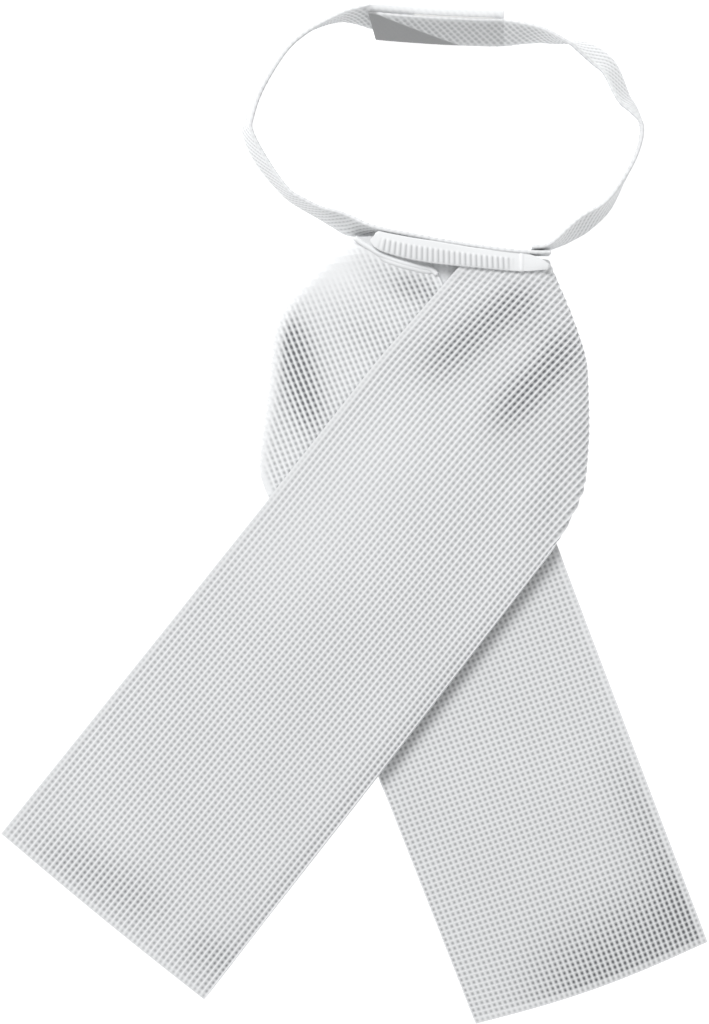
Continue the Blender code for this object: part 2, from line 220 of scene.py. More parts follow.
BACK_RELIEF_AND_SHADE = [
    Crease(Point(-26.0, 78.0), Point(-16.0, 30.0), 0.58, 6.8),
    Crease(Point(-6.0, 72.0), Point(16.0, 60.0), 0.1, 6.0),
    Crease(Point(72.0, -188.0), Point(136.0, -142.0), 0.46, 22.0),
    Crease(Point(98.0, -92.0), Point(130.0, -160.0), 0.2, 9.0),
    Crease(Point(14.0, 85.0), Point(33.0, 79.0), 0.25, 5.0),
    Crease(Point(-34.0, 84.0), Point(4.0, 97.0), -1.1, 14.0),
]

# The neckband, a row for each place along it. The lean is in degrees from upright, positive where the top
# leans out of the loop.
Station = namedtuple("Station", "x y lean")
LEFT_ARM = [
    Station(7.8, 182.6, 36),
    Station(0.4, 183.2, 18),
    Station(-6.8, 182.1, 2),
    Station(-17.8, 177.2, -9),
    Station(-26.3, 170.0, -13),
    Station(-35.0, 156.6, -16),
    Station(-39.0, 145.5, -16),
    Station(-39.2, 139.5, -16),
    Station(-33.9, 129.1, -17),
    Station(-25.3, 118.1, -10),
    Station(-19.1, 113.9, -11),
    Station(-12.6, 110.5, -14),
    Station(-6.8, 108.1, -24),
    Station(-1.7, 105.7, -29),
    Station(4.3, 104.2, -16),
    Station(10.9, 103.3, -6),
    Station(20.9, 101.7, -3),
    Station(31.6, 99.6, -3),
    Station(40.9, 98.2, -2),
    Station(53.8, 96.3, -2),
    Station(64.6, 95.6, 0),
    Station(72.0, 95.5, 0),
]
RIGHT_ARM = [
    Station(65.3, 97.5, 0),
    Station(70.5, 97.7, -3),
    Station(75.0, 99.8, -11),
    Station(79.7, 103.0, -21),
    Station(85.3, 107.0, -26),
    Station(93.1, 113.1, -14),
    Station(99.2, 122.8, -3),
    Station(104.2, 132.9, -2),
    Station(105.8, 142.4, -4),
    Station(102.4, 148.8, -20),
    Station(98.9, 153.2, -28),
    Station(94.2, 163.3, -34),
    Station(89.4, 168.0, -37),
    Station(82.7, 172.2, -24),
    Station(78.6, 173.4, -9),
    Station(73.4, 174.7, 6),
    Station(67.9, 176.0, 18),
    Station(61.2, 176.6, 31),
]
CLOSURE = [
    Station(55.0, 176.8, 42),
    Station(46.4, 176.9, 43),
    Station(31.6, 177.5, 43),
    Station(16.8, 178.5, 43),
    Station(6.5, 179.4, 43),
]
CLOSURE_LIFT = 1.2
CLOSURE_SLIDE = 1.4
CLOSURE_FULL_LEAN = 40.0
CLOSURE_END_SLANT = 3.4
SLANT_LENGTH = 13.0

# Where the plain part of the inner end stops, at the band's lower edge and at its upper edge, how much darker
# the inner end is painted as shade, and how much paler the outer end's upper edge is painted as a highlight.
INNER_PLAIN_FROM = Point(40.0, 174.0)
INNER_PLAIN_TO = Point(9.0, 183.0)
# Painted shade on the closure's inner end, which faces away from the light.
INNER_PLAIN_PAINTED_SHADE = 0.46
INNER_END_PAINTED_SHADE = 0.15
OUTER_EDGE_PAINTED_LIGHT = 0.12
INNER_END_START = 6.0
INNER_PLAIN_FADE = 1.6
OUTER_LIGHT_FROM_X = 2.0
OUTER_LIGHT_FADE = 6.0
OUTER_LIGHT_WIDTH = 4.5

# The touch fastener's strips: where they start in the overlap, their length and their grid.
PAD_START = 4.2
PAD_LENGTH = 30.0
PAD_STEP = 0.6
PAD_COLUMNS = 16

# The turned edge along the back tail's neckline: its line, its width out and in, its height over the cloth,
# its two ridges, its tone, and how much paler its ridges are painted as a highlight.
LIP_LINE = [
    Point(0.2, 101.2), Point(2.8, 99.2), Point(6.1, 97.2), Point(9.4, 95.2), Point(15.4, 92.8),
    Point(23.5, 90.6), Point(27.8, 89.8), Point(30.5, 87.8),
]
LIP_STEP = 0.6
LIP_WIDTH = 1.9
LIP_DEPTH = 3.6
LIP_HEIGHT = 0.55
LIP_FLOOR = 0.35
LIP_RIDGE_WIDTH = 0.45
LIP_SECOND_OFFSET = 1.35
LIP_SECOND_WIDTH = 0.4
LIP_SECOND_SHARE = 0.8
LIP_SECOND_START = 0.25
LIP_TURN_DROP = 0.6
LIP_TONE = 0.86
LIP_RIDGE_PAINTED_LIGHT = 0.2

# The keeper tape: the middle of the tape, its width, the height of its middle, and its tilt in degrees,
# which lifts the edge by the neckband.
Tape = namedtuple("Tape", "x y width z tilt")
KEEPER = [
    Tape(6.9, 101.4, 2.6, 10.3, 10),
    Tape(7.9, 100.7, 5.0, 10.3, 10),
    Tape(11.2, 99.0, 6.3, 10.3, 10),
    Tape(19.5, 96.9, 7.1, 10.4, 12),
    Tape(27.7, 95.5, 7.4, 10.5, 12),
    Tape(34.0, 94.6, 7.1, 10.6, 12),
    Tape(46.0, 93.1, 6.4, 10.8, 10),
    Tape(60.7, 91.7, 6.2, 10.8, 6),
    Tape(67.5, 91.0, 4.0, 10.6, 4),
    Tape(71.0, 90.2, 1.6, 10.0, 2),
]

# The tape is a little wider than its table and set over towards the neckband by a share of its width. The
# shares below count across the tape from its middle, and the bar tack lies across it at the tack's x.
KEEPER_SPREAD = 1.1
KEEPER_TOWARDS_BAND = 0.05
KEEPER_RIB_HEIGHT = 0.3
KEEPER_COLUMNS = 21
KEEPER_CROWN = 0.25
KEEPER_RIM = 0.07
# The tape's rims and its bar tack are painted paler: a painted highlight.
KEEPER_RIM_PAINTED_LIGHT = 0.08
RIB_SLANT = 0.15
RIBS_UP_TO = 0.08
RIB_ROWS = 8
TACK_X = 61.2
TACK_HALF_WIDTH = 0.45
TACK_HEIGHT = 0.4

# The floor under the cravat glows a little, so that shadows on it stay pale.
FLOOR_HALF = 3000.0
FLOOR_GREY = (0.93, 0.93, 0.93, 1.0)
FLOOR_GLOW = 0.6

# The light and the camera, which looks straight down. The view's length is what the picture's height covers.
WORLD_STRENGTH = 0.6
KEY_SIZE = 800.0
KEY_POWER = 25.0
KEY_PLACE = (-650.0, 1060.0, 1450.0)
CAMERA_SENSOR = 36.0
CAMERA_HEIGHT = 1200.0
CAMERA_Y = 0.3
VIEW_LENGTH = 378.9

# The cloth's finish: how far the painted shade in the pits and the grooves deepens past a relief of 1, the
# slow mottle, and the yarn's ply and fuzz, with the bump's height in metres.
PIT_SHADE_PAST_ONE = 0.6
GROOVE_SHADE_PAST_ONE = 0.75
MOTTLE_SCALE = 28.0
MOTTLE_SPREAD = 0.08
FUZZ_SCALE = 1800.0
PLY_SHARE = 0.12
PLY_TURNS = 4
YARN_BUMP = 0.00012


def smooth(value):
    """Runs from 0 to 1 with level ends, as a cubic, and stays there."""
    x = np.clip(value, 0.0, 1.0)
    return x * x * (3.0 - 2.0 * x)


def faded(value, least):
    """Runs as smooth does, from the least share up to 1."""
    return least + (1.0 - least) * smooth(value)


def unit(vectors):
    """The vectors made one long."""
    return vectors / np.maximum(np.linalg.norm(vectors, axis=-1, keepdims=True), 1e-9)


def length_of(line):
    """The length of a line of points."""
    return float(np.linalg.norm(np.diff(np.array(line, float), axis=0), axis=1).sum())


def distances_along(line):
    """How far along a line of points each of them lies."""
    return np.concatenate([[0.0], np.cumsum(np.linalg.norm(np.diff(line, axis=0), axis=1))])


def at_distances(line, distances):
    """Points at the given distances along a line."""
    run = distances_along(line)
    return np.stack([np.interp(distances, run, line[:, axis]) for axis in range(line.shape[1])], axis=-1)


def rounded(points, radius, past_ends=0.0):
    """The line through the points with its corners rounded: it is cut into short steps and averaged twice
    over the radius. Its ends are carried straight on, so that they stay in place or reach past the ends."""
    step = OUTLINE_STEP
    line = np.array(points, float)
    reach = radius + step
    line[0] -= unit(line[1] - line[0]) * reach
    line[-1] += unit(line[-1] - line[-2]) * (reach + past_ends)
    fine = at_distances(line, np.arange(0.0, length_of(line), step))
    kernel = np.ones(int(radius / step) | 1)
    kernel /= kernel.size
    for _ in range(2):
        fine = np.stack([np.convolve(fine[:, axis], kernel, "valid") for axis in range(2)], axis=1)
    return fine


def through(stations, step):
    """A smooth curve through a table's rows, cut to about one step: in every column a cubic from row to row
    whose slope at a row is half the difference of the rows beside it."""
    table = np.array(stations, float)
    padded = np.vstack([2 * table[0] - table[1], table, 2 * table[-1] - table[-2]])
    pieces = []
    for before, start, end, after in zip(padded[:-3], padded[1:-2], padded[2:-1], padded[3:]):
        count = max(1, round(float(np.linalg.norm(end[:2] - start[:2])) / step))
        t = (np.arange(count) / count)[:, None]
        bend = (2 * before - 5 * start + 4 * end - after) * t**2
        twist = (3 * start - before - 3 * end + after) * t**3
        pieces.append(0.5 * (2 * start + (end - before) * t + bend + twist))
    pieces.append(table[-1:])
    return np.vstack(pieces)


def beside(line, points):
    """Where points lie beside a line: the distance along the line of the nearest place, the distance to its
    left, that place, and the line's heading there."""
    heading = unit(np.gradient(line, axis=0))
    run = distances_along(line)
    flat = points.reshape(-1, 2)
    nearest = np.concatenate(
        [
            ((part[:, None] - line[None]) ** 2).sum(axis=2).argmin(axis=1)
            for part in np.array_split(flat, 12)
        ]
    )
    off = flat - line[nearest]
    way = heading[nearest]
    along = (off * way).sum(axis=1)
    left = way[:, 0] * off[:, 1] - way[:, 1] * off[:, 0]
    place = line[nearest] + way * along[:, None]
    shape = points.shape[:-1]
    return (
        (run[nearest] + along).reshape(shape),
        left.reshape(shape),
        place.reshape(*shape, 2),
        way.reshape(*shape, 2),
    )


def crease_height(creases, x, y):
    """The soft creases added up. Each is a bell across its line that dies out towards the line's ends."""
    total = np.zeros_like(x)
    for crease in creases:
        start, end = np.array(crease.start), np.array(crease.end)
        middle, half = (start + end) / 2, np.linalg.norm(end - start) / 2
        run = unit(end - start)
        along = ((x - middle[0]) * run[0] + (y - middle[1]) * run[1]) / half
        across = ((x - middle[0]) * run[1] - (y - middle[1]) * run[0]) / crease.half_width
        total = total + crease.height * np.exp(-(along**4) - across**2)
    return total


def back_axis():
    """The back tail's own direction, from its hem up, along its fold edge."""
    hem, start = (np.array(BACK_FOLD_EDGE[i]) for i in (0, 2))
    return hem, unit(start - hem)


def back_base(x, y):
    """The back tail's cloth without its creases: level from the hem, up a slope under the front tail, and
    puffed at the shoulder with a trough beside the fold."""
    hem, axis = back_axis()
    up = (x - hem[0]) * axis[0] + (y - hem[1]) * axis[1]
    height = REST + BACK_RISE * smooth((up - BACK_RISE_START) / BACK_RISE_LENGTH)
    near = ((x - BACK_SHOULDER.x) ** 2 + (y - BACK_SHOULDER.y) ** 2) / BACK_SHOULDER_RADIUS**2
    height = height + BACK_SHOULDER_PUFF * np.exp(-near)
    trough = Crease(*TROUGH_LINE, -TROUGH_DEPTH, TROUGH_HALF_WIDTH)
    return height + crease_height([trough], x, y)


def back_height(x, y):
    """The back tail's cloth with its creases."""
    return back_base(x, y) + crease_height(BACK_CREASES, x, y)


def front_height(x, y):
    """The front tail's cloth: level from the hem, then over the back tail with room under its outer side,
    and down again to the neckband, with its creases."""
    hem, axis = back_axis()
    past_edge = (x - hem[0]) * axis[1] - (y - hem[1]) * axis[0]
    ramp = smooth((past_edge + RAMP_START) / RAMP_LENGTH)
    corner = np.array(FRONT_FREE_EDGE[0])
    run = unit(np.array(FRONT_FREE_EDGE[1]) - corner)
    across = (x - corner[0]) * run[1] - (y - corner[1]) * run[0]
    lift = CROSSING_LIFT + OUTER_LIFT * smooth(across / OUTER_LIFT_WIDTH)
    neck = smooth((y - NECK_LIFT_START) / NECK_LIFT_LENGTH)
    lift = lift + (NECK_LIFT - lift) * neck
    return REST + (back_base(x, y) - REST + lift) * ramp + crease_height(FRONT_CREASES, x, y)


# A tail's edges, where its fold starts and where its return ends, its height, the bells that deepen its weave
# and with it the painted shade in the pits and grooves, and how grooved and pale its weave is. The crest's
# weave comes back over plain_crest, and reach is the roll's half-width. The rows bow at the hem and near the
# neck. Past lead_start the far edge runs ahead of the free edge, by the square of the distance over
# lead_span. The fold is on the right where outside is 1. Rows and columns are counted in cells.
Tail = namedtuple(
    "Tail",
    "free_edge far_edge fold_edge neckline fold_start return_end height openness grooved tone plain_crest"
    " reach hem_bow neck_bow lead_start lead_span outside rows columns",
)
FRONT_TAIL = Tail(
    free_edge=FRONT_FREE_EDGE, far_edge=FRONT_FAR_EDGE, fold_edge=FRONT_FOLD_EDGE, neckline=FRONT_NECKLINE,
    fold_start=FRONT_FOLD_START, return_end=FRONT_RETURN_END, height=front_height, openness=FRONT_RELIEF_AND_SHADE,
    grooved=(0.35, 0.55), tone=1.0, plain_crest=0.0, reach=FRONT_ROLL_REACH, hem_bow=0.6, neck_bow=3.0,
    lead_start=170.0, lead_span=480.0, outside=1, rows=156, columns=48,
)
BACK_TAIL = Tail(
    free_edge=BACK_FREE_EDGE, far_edge=BACK_FAR_EDGE, fold_edge=BACK_FOLD_EDGE, neckline=BACK_NECKLINE,
    fold_start=BACK_FOLD_START, return_end=BACK_RETURN_END, height=back_height, openness=BACK_RELIEF_AND_SHADE,
    grooved=(0.15, 0.5), tone=0.97, plain_crest=2.0, reach=BACK_ROLL_REACH, hem_bow=2.6, neck_bow=0.0,
    lead_start=200.0, lead_span=350.0, outside=-1, rows=152, columns=45,
)


def flat_cloth(tail):
    """The crossings of the threads while the cloth is flat. A row runs straight from a place on the free edge
    to the same place on the far edge, which is taken further on towards the neck. The rows bow towards the
    hem near it and towards the neck higher up, by a sine across the strip."""
    free = rounded(tail.free_edge, CORNER_ROUNDING, PAST_ENDS)
    far = rounded(tail.far_edge, FAR_ROUNDING, PAST_ENDS)
    along = np.arange(tail.rows + 1) * TAIL_CELL
    lead = np.maximum(along - tail.lead_start, 0.0) ** 2 / tail.lead_span
    near_side, far_side = at_distances(free, along), at_distances(far, along + lead)
    share = np.linspace(0.0, 1.0, tail.columns + 1)[None, :, None]
    plan = near_side[:, None] * (1 - share) + far_side[:, None] * share
    towards_hem = unit(near_side[0] - near_side[1])
    bow = tail.hem_bow * (1 - smooth(along / HEM_BOW_LENGTH))
    bow = bow - tail.neck_bow * smooth((along - tail.lead_start) / NECK_BOW_LENGTH)
    return plan + bow[:, None, None] * np.sin(np.pi * share) * towards_hem


def roll_size(tail, past, top):
    """The half-widths of the roll's ellipse, flat and upright, by the share of the fold that is past. The
    roll starts from nothing, stays tight over the first stretch and then opens."""
    begun = smooth(past / ROLL_START_SHARE)
    opened = smooth((past - OPENING_START) / OPENING_LENGTH)
    upright = np.maximum((top - REST) / 2, ROLL_MIN)
    reach = (ROLL_MIN + (tail.reach - ROLL_MIN) * opened) * begun
    return reach, (ROLL_MIN + (upright - ROLL_MIN) * opened) * begun


def folded(tail, plan):
    """Takes the flat cloth round its fold. A crossing that lies past the roll's crest moves on round half an
    ellipse, by the same length of cloth, in the upright plane square to the fold edge. Crossings past the
    roll's end stay at that end, and those past the neckline stay on the neckline. Returns the crossings,
    which of them are cut off, and how far each lies inside the crest."""
    neckline = rounded(tail.neckline, NECK_ROUNDING, PAST_ENDS)
    before = unit(neckline[:1] - neckline[1:2])
    ahead = PAST_ENDS * np.linspace(1.0, 0.0, 60)[:, None]
    neckline = np.vstack([neckline[:1] + before * ahead, neckline[1:]])
    _, past_neck, on_neckline, _ = beside(neckline, plan)
    cut = past_neck > 0
    plan = np.where(cut[..., None], on_neckline, plan)

    fold = rounded(tail.fold_edge, CORNER_ROUNDING, PAST_ENDS)
    run, left, place, heading = beside(fold, plan)
    outward = np.stack([heading[..., 1], -heading[..., 0]], axis=-1) * tail.outside
    past = (run - tail.fold_start) / (length_of(tail.fold_edge) - tail.fold_start)
    edge_top = tail.height(place[..., 0], place[..., 1])
    reach, drop = roll_size(tail, past, edge_top)
    over_crest = reach - left * tail.outside
    mean_size = np.sqrt((reach**2 + drop**2) / 2)
    even = np.clip(over_crest / np.maximum(mean_size, 1e-6), 0.0, ROLL_END)
    flatness = (reach**2 - drop**2) / np.maximum(4 * (reach**2 + drop**2), 1e-6)
    angle = even - flatness * np.sin(2 * even)
    out = reach * (np.sin(angle) - 1)
    rolled = (over_crest > 0)[..., None]
    plan = np.where(rolled, place + outward * out[..., None], plan)
    blend = smooth(2 * angle / np.pi)
    top = tail.height(plan[..., 0], plan[..., 1]) * (1 - blend) + edge_top * blend
    z = np.maximum(top - drop * (1 - np.cos(angle)), REST)
    cut = cut | (over_crest >= ROLL_END * mean_size) & rolled[..., 0]
    inside = np.where(run > tail.fold_start, left * tail.outside, np.inf)
    return np.concatenate([plan, z[..., None]], axis=-1), cut, inside


def returned(tail):
    """The end of the strip that comes back beneath. A row starts under the roll, where the roll's own cloth
    ends, runs on round the ellipse and then level to the return's edge."""
    free = rounded(tail.free_edge, CORNER_ROUNDING)
    fold = rounded(tail.fold_edge, CORNER_ROUNDING)
    fold_length, free_length = length_of(fold) - tail.fold_start, length_of(free) - tail.fold_start
    rows = int(fold_length * (1 - TURN_SHARE) / RETURN_STEP)
    past = np.linspace(TURN_SHARE, 1.0, rows)
    right = at_distances(fold, tail.fold_start + past * fold_length)
    left = at_distances(free, tail.fold_start + past * free_length)
    inner = right[:1] + (np.array(tail.return_end) - right[:1]) * np.linspace(0.0, 1.0, rows)[:, None]
    span = np.linalg.norm(inner - right, axis=1)
    swing = smooth((past - TURN_SHARE) / RETURN_SWING)[:, None]
    inward = unit(unit(left - right) * (1 - swing) + unit(inner - right) * swing)
    top = tail.height(right[:, 0], right[:, 1])
    reach, drop = roll_size(tail, past, top)

    angle = np.linspace(ROLL_END, np.pi, RETURN_ARC_POINTS)[None, :-1]
    columns = int(span.max() / RETURN_STEP)
    flat = np.maximum(span - reach, RETURN_STEP)[:, None] * np.linspace(0.0, 1.0, columns)
    inset = np.concatenate([reach[:, None] * (1 - np.sin(angle)), reach[:, None] + flat], axis=1)
    down = np.concatenate([drop[:, None] * (1 - np.cos(angle)), 2 * drop[:, None] + flat * 0], axis=1)
    plan = right[:, None] + inward[:, None] * inset[..., None]
    z = np.maximum(top[:, None] - down, REST)
    risen = smooth((past[:, None] - RETURN_RISE_START) / (1 - RETURN_RISE_START))
    z = z + RETURN_RISE * risen * smooth(inset / RETURN_RISE_WIDTH - 0.5)
    return np.concatenate([plan, z[..., None]], axis=2)


Patch = namedtuple("Patch", "points faces cloth marks smoothed")
MARKS = ("relief", "grooved", "tone")


def grid_faces(rows, columns):
    """The four corners of each cell of a grid, numbered row by row, and turning the same way."""
    corner = (np.arange(rows - 1)[:, None] * columns + np.arange(columns - 1)).ravel()
    return np.stack([corner, corner + 1, corner + columns + 1, corner + columns], axis=1)


def between(values):
    """The means of the neighbours along each row, and of the four corners of each cell."""
    pairs = (values[:, :-1] + values[:, 1:]) / 2
    return pairs, (pairs[:-1] + pairs[1:]) / 2


def woven(corners, cloth, marks, depth, kept):
    """Waffle cloth as cells. The corners are the thread crossings. A cell's middle is the mean of its corners
    sunk along the cloth's normal by the depth times the relief, the first of the marks. The middle of each
    thread that runs across is sunk by a share of that, the more so the more the cloth is grooved along the
    strip, which is the second of the marks."""
    rows, columns = corners.shape[:2]
    normal = unit(np.cross(np.gradient(corners, axis=1), np.gradient(corners, axis=0)))
    relief = marks[..., 0]
    least = np.minimum(relief[:, :-1], relief[:, 1:])
    threads, middles = between(corners)
    thread_normals, middle_normals = between(normal)
    share = CROSS_SINK_LEAST + CROSS_SINK_GROOVE * between(marks[..., 1:2])[0][..., 0]
    threads = threads - thread_normals * (depth * share * least)[..., None]
    middles = middles - middle_normals * (depth * np.minimum(least[:-1], least[1:]))[..., None]
    layers = [corners, threads, middles]
    points = np.concatenate([layer.reshape(-1, 3) for layer in layers])
    places = np.concatenate([layer.reshape(-1, 2) for layer in (cloth, *between(cloth))])
    marks = np.concatenate([layer.reshape(-1, marks.shape[-1]) for layer in (marks, *between(marks))])

    row, column = np.nonzero(kept)
    corner = row * columns + column
    thread = corners[..., 0].size + row * (columns - 1) + column
    middle = corners[..., 0].size + threads[..., 0].size + row * (columns - 1) + column
    ring = [corner, thread, corner + 1, corner + columns + 1, thread + columns - 1, corner + columns]
    faces = np.concatenate([np.stack([ring[i], ring[(i + 1) % 6], middle], axis=1) for i in range(6)])
    used, faces = np.unique(faces, return_inverse=True)
    return Patch(points[used], faces.reshape(-1, 3), places[used], marks[used], False)


def plain(grid, cloth, relief=0.0, grooved=0.0, tone=1.0):
    """A grid of points as smooth cloth."""
    rows, columns = grid.shape[:2]
    marks = np.stack([np.broadcast_to(value, (rows, columns)) for value in (relief, grooved, tone)], axis=-1)
    return Patch(
        grid.reshape(-1, 3), grid_faces(rows, columns), cloth.reshape(-1, 2), marks.reshape(-1, 3), True
    )


def cloth_piece(name, patches, wall, finish):
    """One piece of cloth from its patches, given its thickness half each way. The map holds each point's
    place in the weave, counted in cells. The relief is how deep the weave is there and how dark the painted
    shade in its pits is, grooved the share of it that runs on in grooves, and the tone how much paler or
    darker the cloth is painted, which in places is painted light and in places painted shade."""
    points, faces, smoothed = [], [], []
    for patch in patches:
        start = sum(len(p) for p in points)
        points.append(patch.points)
        faces.extend((patch.faces + start).tolist())
        smoothed.extend([patch.smoothed] * len(patch.faces))
    mesh = bpy.data.meshes.new(name)
    mesh.from_pydata((np.vstack(points) * MM).tolist(), [], faces)
    mesh.polygons.foreach_set("use_smooth", smoothed)
    of_corner = np.zeros(len(mesh.loops), np.int32)
    mesh.loops.foreach_get("vertex_index", of_corner)
    cloth = np.vstack([patch.cloth for patch in patches])
    mesh.uv_layers.new(name="cloth").data.foreach_set("uv", cloth[of_corner].ravel())
    marks = np.vstack([patch.marks for patch in patches]).astype(np.float32)
    for column, label in enumerate(MARKS):
        mesh.attributes.new(label, "FLOAT", "POINT").data.foreach_set("value", marks[:, column].copy())
    mesh.materials.append(finish)
    piece = bpy.data.objects.new(name, mesh)
    bpy.context.collection.objects.link(piece)
    solidify = piece.modifiers.new("wall", "SOLIDIFY")
    solidify.thickness = wall * MM
    solidify.offset = 0.0
    solidify.use_rim = True
    return piece


def dressed(piece, node):
    """The piece rides on the part's one body and stands for a node of it, whose own mesh is hidden."""
    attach(piece, "root")
    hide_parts(node)
    return piece


def seam_rise(tail, past_neck, x):
    """How far a tail's cloth comes up to the tape before its neckline. The back tail's comes up less towards
    the front tail, which lies over it."""
    if tail is FRONT_TAIL:
        return FRONT_SEAM_RISE * smooth((past_neck + FRONT_SEAM_START) / FRONT_SEAM_LENGTH)
    near_front = faded((BACK_SEAM_END_X - x) / BACK_SEAM_END_LENGTH, BACK_SEAM_LEAST)
    return BACK_SEAM_RISE * smooth(past_neck / BACK_SEAM_START + 1.0) * near_front


def build_tail(name, tail, finish, more=()):
    """A tail: its woven side with the roll, and the return beneath. The weave is shallower along the free
    edge, over the hem, towards the neckline and, on the back tail, along the crest of the roll."""
    plan = flat_cloth(tail)
    corners, cut, inside = folded(tail, plan)
    neckline = rounded(tail.neckline, NECK_ROUNDING)
    _, past_neck, _, _ = beside(neckline, corners[..., :2])
    corners[..., 2] += seam_rise(tail, past_neck, corners[..., 0]) * smooth(inside / SEAM_INSIDE_CREST)
    rows, columns = cut.shape
    count = np.arange(rows)[:, None] + 0.0 * np.arange(columns)
    across = np.arange(columns)[None] + 0.0 * count
    cloth = np.stack([count, across], axis=2)
    # The bells deepen or flatten the weave, and with it the painted shade in its pits and grooves.
    relief = 1.0 + crease_height(tail.openness, plan[..., 0], plan[..., 1])
    relief = np.maximum(relief, LEAST_RELIEF) * smooth(-past_neck / NECKLINE_FADE)
    relief = relief * faded(across / EDGE_CELLS, FREE_EDGE_RELIEF) * faded(count / EDGE_CELLS, HEM_RELIEF)
    if tail.plain_crest > 0:
        relief = relief * faded((inside - CREST_PLAIN_WIDTH) / tail.plain_crest, CREST_RELIEF)
    low, high = tail.grooved
    grooved = low + (high - low) * smooth((plan[..., 1] - GROOVED_FROM_Y) / GROOVED_LENGTH)
    # Painted highlight: the free edge's crossings are paler.
    tone = tail.tone - PLAIN_DARKER * np.clip(1 - relief, 0.0, 1.0) + FREE_EDGE_PAINTED_LIGHT * (across < FREE_EDGE_LIGHT_CELLS)
    tone = tone + GROOVED_PALER * (grooved - low) * (tail.outside < 0)
    marks = np.stack([relief, grooved, tone], axis=2)
    kept = ~(cut[:-1, :-1] & cut[:-1, 1:] & cut[1:, 1:] & cut[1:, :-1])
    if tail.outside < 0:
        corners, cloth, marks, kept = corners[:, ::-1], cloth[:, ::-1], marks[:, ::-1], kept[:, ::-1]
    weave = woven(corners, cloth, marks, TAIL_PIT, kept)
    under = returned(tail)
    if tail.outside > 0:
        under = under[:, ::-1]
    under_cloth = under[..., :2] / TAIL_CELL
    # The return is painted paler: painted light in its shaded gap.
    patches = [weave, plain(under, under_cloth, RETURN_RELIEF, 0.0, RETURN_PAINTED_LIGHT), *more]
    return cloth_piece(name, patches, TAIL_WALL - TAIL_PIT / 2, finish)


def back_lip():
    """The turned edge along the back tail's neckline: two rounded ridges with a groove between them, the
    outer one fading in, and the plain cloth that runs from them up under the tape."""
    line = through(LIP_LINE, LIP_STEP)
    run = unit(np.gradient(line, axis=0))
    inward = np.stack([-run[:, 1], run[:, 0]], axis=1)
    walked = distances_along(line)
    share = walked / walked[-1]
    second = smooth((share - LIP_SECOND_START) / 0.2)[:, None]
    taper = (0.3 + 0.7 * second) * faded((1.0 - share) / 0.15, 0.35)[:, None]
    depth = LIP_DEPTH * (smooth((1.0 - share) / 0.3) * smooth(0.15 + share / 0.2))[:, None]
    edge = np.linspace(-LIP_WIDTH, 0.6, 15)[None] * taper
    flat = edge[:, -1:] + depth * np.linspace(0.1, 1.0, 6)[None]
    offset = np.concatenate([edge, flat], axis=1)
    ridge = np.exp(-((offset / LIP_RIDGE_WIDTH) ** 2))
    outer = np.exp(-(((offset + LIP_SECOND_OFFSET) / LIP_SECOND_WIDTH) ** 2))
    ridge = ridge + LIP_SECOND_SHARE * second * outer
    plan = line[:, None] + inward[:, None] * offset[..., None]
    x, y = plan[..., 0], plan[..., 1]
    foot = back_height(x, y) + seam_rise(BACK_TAIL, 0.0 * x, x) + LIP_FLOOR
    z = foot + LIP_HEIGHT * ridge - LIP_TURN_DROP * smooth(-(offset + 0.8 * taper) / 1.2)
    grid = np.concatenate([plan, z[..., None]], axis=2)
    # Painted highlight: the ridges are paler.
    tone = LIP_TONE + LIP_RIDGE_PAINTED_LIGHT * np.minimum(ridge, 1.0)
    return plain(grid[:, ::-1], plan[:, ::-1] / TAIL_CELL, 0.0, 0.0, tone[:, ::-1])


def band_frames(stations, step):
    """Places along a standing band: its middle in plan, its heading, the way out of the loop and the lean."""
    curve = through(stations, step)
    run = unit(np.gradient(curve[:, :2], axis=0))
    out = np.stack([run[:, 1], -run[:, 0]], axis=1)
    return curve[:, :2], run, out, np.radians(curve[:, 2])


def band_grid(middle, run, out, lean, height, width, columns, slant=0.0):
    """A standing band: lines of points from the lower edge to the upper edge, turned by the lean. The last
    stretch is cut on a slant, its upper edge the longer one."""
    across = np.linspace(-0.5, 0.5, columns) * width
    side = out[:, None] * (np.sin(lean)[:, None] * across)[..., None]
    walked = distances_along(middle)
    last = smooth(1 - (walked[-1] - walked) / SLANT_LENGTH)
    cut = run[:, None] * (slant * last[:, None] * across / width)[..., None]
    plan = middle[:, None] + side + cut
    z = height[:, None] + np.cos(lean)[:, None] * across
    return np.concatenate([plan, z[..., None]], axis=2)


def standing_height(lean, lift):
    """The height of a band's middle when its lower edge stands at the lift."""
    return lift + BAND_WIDTH / 2 * np.cos(lean) + BAND_WALL / 2 * np.abs(np.sin(lean))


def closure_layer(depth, slide):
    """The closure's stations moved out through the overlap by a depth, and up the band's face by a slide,
    with the change in height that this brings."""
    table = np.array(CLOSURE, float)
    run = unit(np.gradient(table[:, :2], axis=0))
    out = np.stack([run[:, 1], -run[:, 0]], axis=1)
    lean = np.radians(table[:, 2])
    table[:, :2] += out * (depth * np.cos(lean) + slide * np.sin(lean))[:, None]
    rise = -depth * np.sin(lean) + slide * np.cos(lean)
    return table, float(rise[len(rise) // 2])


def raised(grid, heights):
    """A grid of points moved along its own normals by the heights."""
    normal = unit(np.cross(np.gradient(grid, axis=0), np.gradient(grid, axis=1)))
    return grid + normal * heights[..., None]


